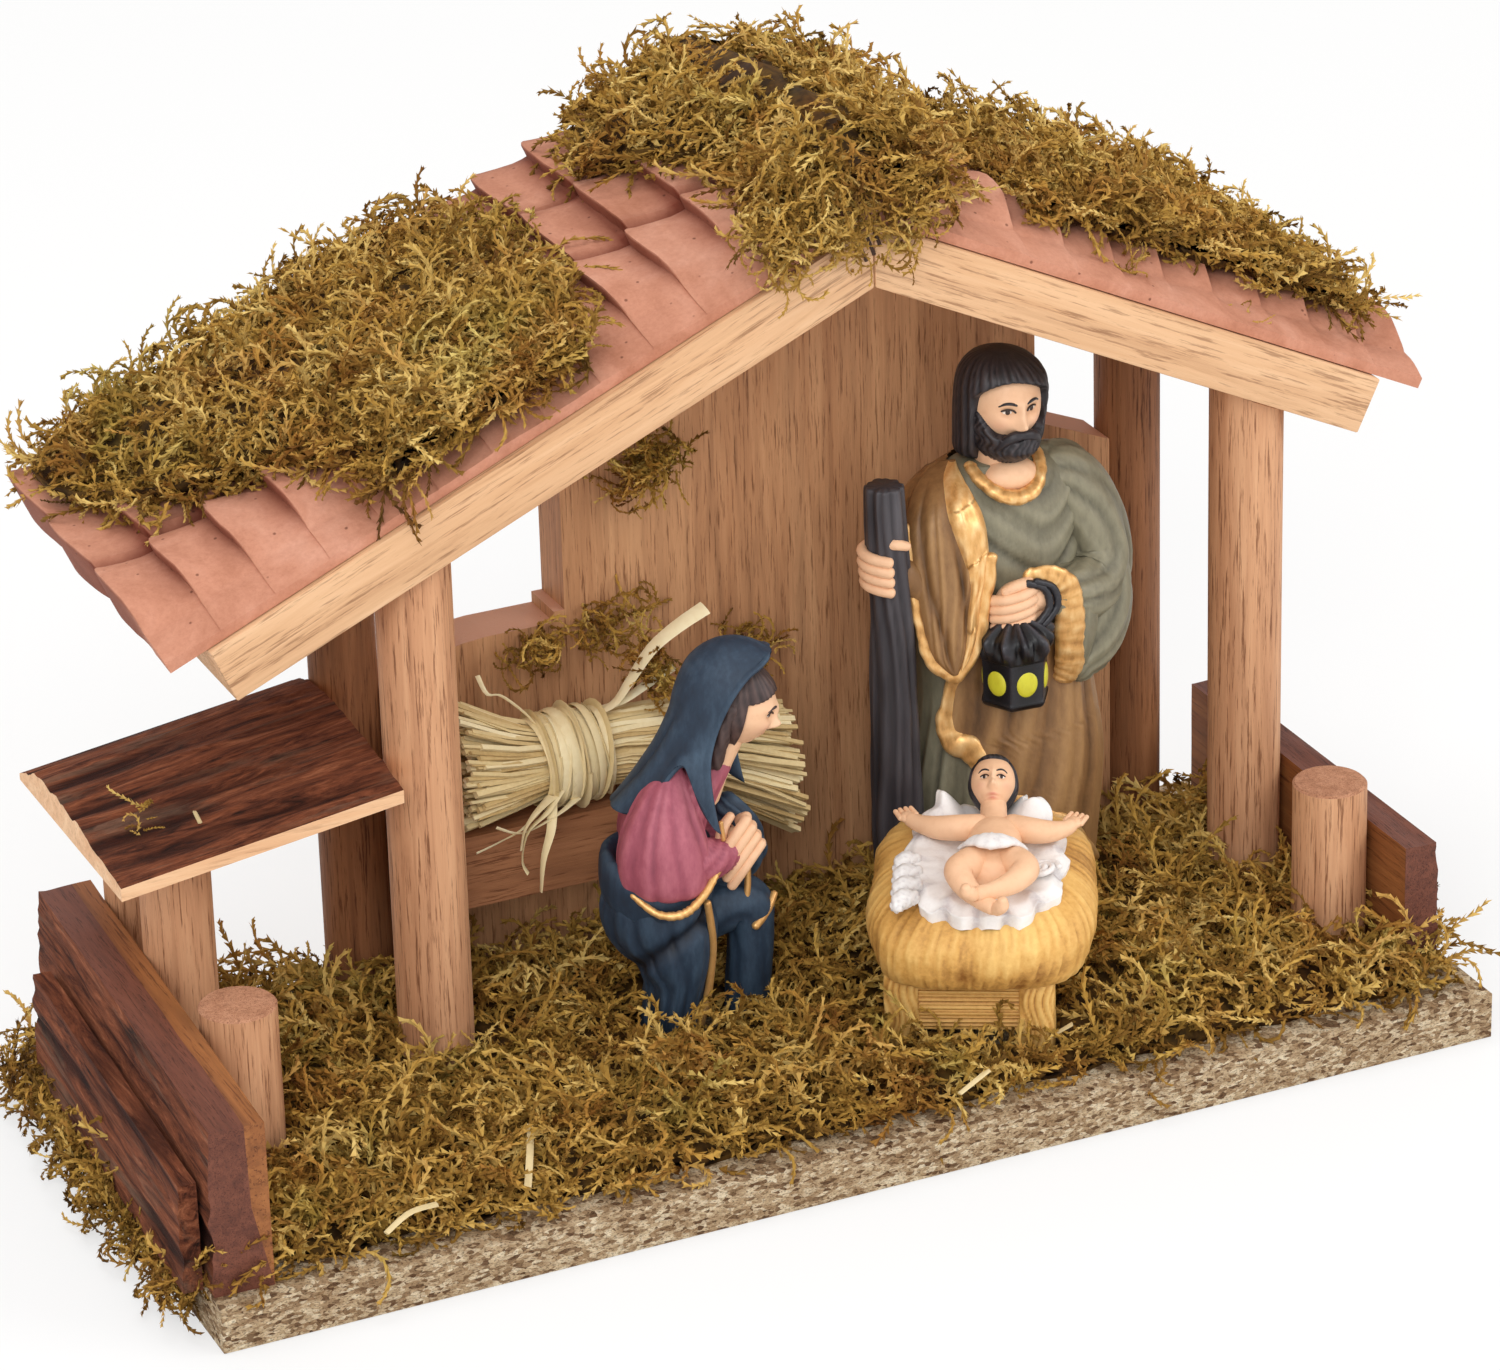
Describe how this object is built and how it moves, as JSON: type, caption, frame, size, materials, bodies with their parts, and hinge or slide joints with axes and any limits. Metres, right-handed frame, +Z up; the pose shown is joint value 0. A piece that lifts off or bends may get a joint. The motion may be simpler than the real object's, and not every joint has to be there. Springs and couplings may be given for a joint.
{
  "type": "nativity stable with figures",
  "caption": "Wooden toy stable on a flat base, with a moulded tile roof, a lean-to, bark fences, moss, a tied sheaf, and lift-off standing, kneeling and crib castings.",
  "frame": {"origin": "centre of the flat underside of the base board", "axes": "+X to the right along the base's long side, +Y to the back wall, +Z up; the open front faces -Y"},
  "size_m": [0.3056, 0.1525, 0.2027],
  "materials": {
    "chipboard": "matt chipboard",
    "nail_steel": "bright steel",
    "dark_dowel": "bare wood in shade",
    "dowel": "bare softwood",
    "pale_board": "planed pale wood",
    "terracotta_cast": "matt cast, terracotta colour",
    "wall_wood": "stained wood",
    "bark_wood": "rough bark over sawn wood",
    "straw": "dry straw and raffia",
    "moss": "dried moss",
    "painted_cast_robe": "hand-painted casting, brown, grey-green and gold",
    "painted_cast_blue": "hand-painted casting, blue, rose and gold",
    "painted_cast_straw": "hand-painted casting, ochre, white and skin"
  },
  "bodies": {
    "stable": {"base_board": "chipboard", "post_front_left": "dowel", "post_front_right": "dowel", "post_back_left": "dark_dowel", "post_back_right": "dark_dowel", "base_nail_front_left": "nail_steel", "base_nail_front_right": "nail_steel", "base_nail_back_left": "nail_steel", "base_nail_back_right": "nail_steel", "roof_nail_front_left": "nail_steel", "roof_nail_front_right": "nail_steel", "roof_nail_back_left": "nail_steel", "roof_nail_back_right": "nail_steel", "roof_board_left": "pale_board", "roof_board_right": "pale_board", "roof_tiles_left": "terracotta_cast", "roof_tiles_right": "terracotta_cast", "back_wall": "wall_wood", "lean_to_slab": "bark_wood", "lean_to_post_front": "dowel", "lean_to_post_back": "dowel", "fence_plank_left": "bark_wood", "fence_bark_strip_left": "bark_wood", "fence_plank_right": "bark_wood", "fence_stub_left": "dowel", "fence_stub_right": "dowel", "hay_ledge": "wall_wood", "straw_sheaf": "straw", "raffia_tie": "straw", "moss_bed_left": "moss", "moss_bed_centre": "moss", "moss_bed_right": "moss", "roof_moss_left": "moss", "roof_moss_ridge": "moss", "roof_moss_right": "moss"},
    "standing_figure_body": {"standing_figure": "painted_cast_robe"},
    "kneeling_figure_body": {"kneeling_figure": "painted_cast_blue"},
    "crib_body": {"crib_with_infant": "painted_cast_straw"}
  },
  "joints": [
    {"name": "standing_figure_lift", "type": "slide", "parent": "stable", "child": "standing_figure_body", "axis": [0, 0, 1], "range_m": [0, 0.007]},
    {"name": "kneeling_figure_lift", "type": "slide", "parent": "stable", "child": "kneeling_figure_body", "axis": [0, 0, 1], "range_m": [0, 0.04]},
    {"name": "crib_lift", "type": "slide", "parent": "stable", "child": "crib_body", "axis": [0, 0, 1], "range_m": [0, 0.1]}
  ]
}
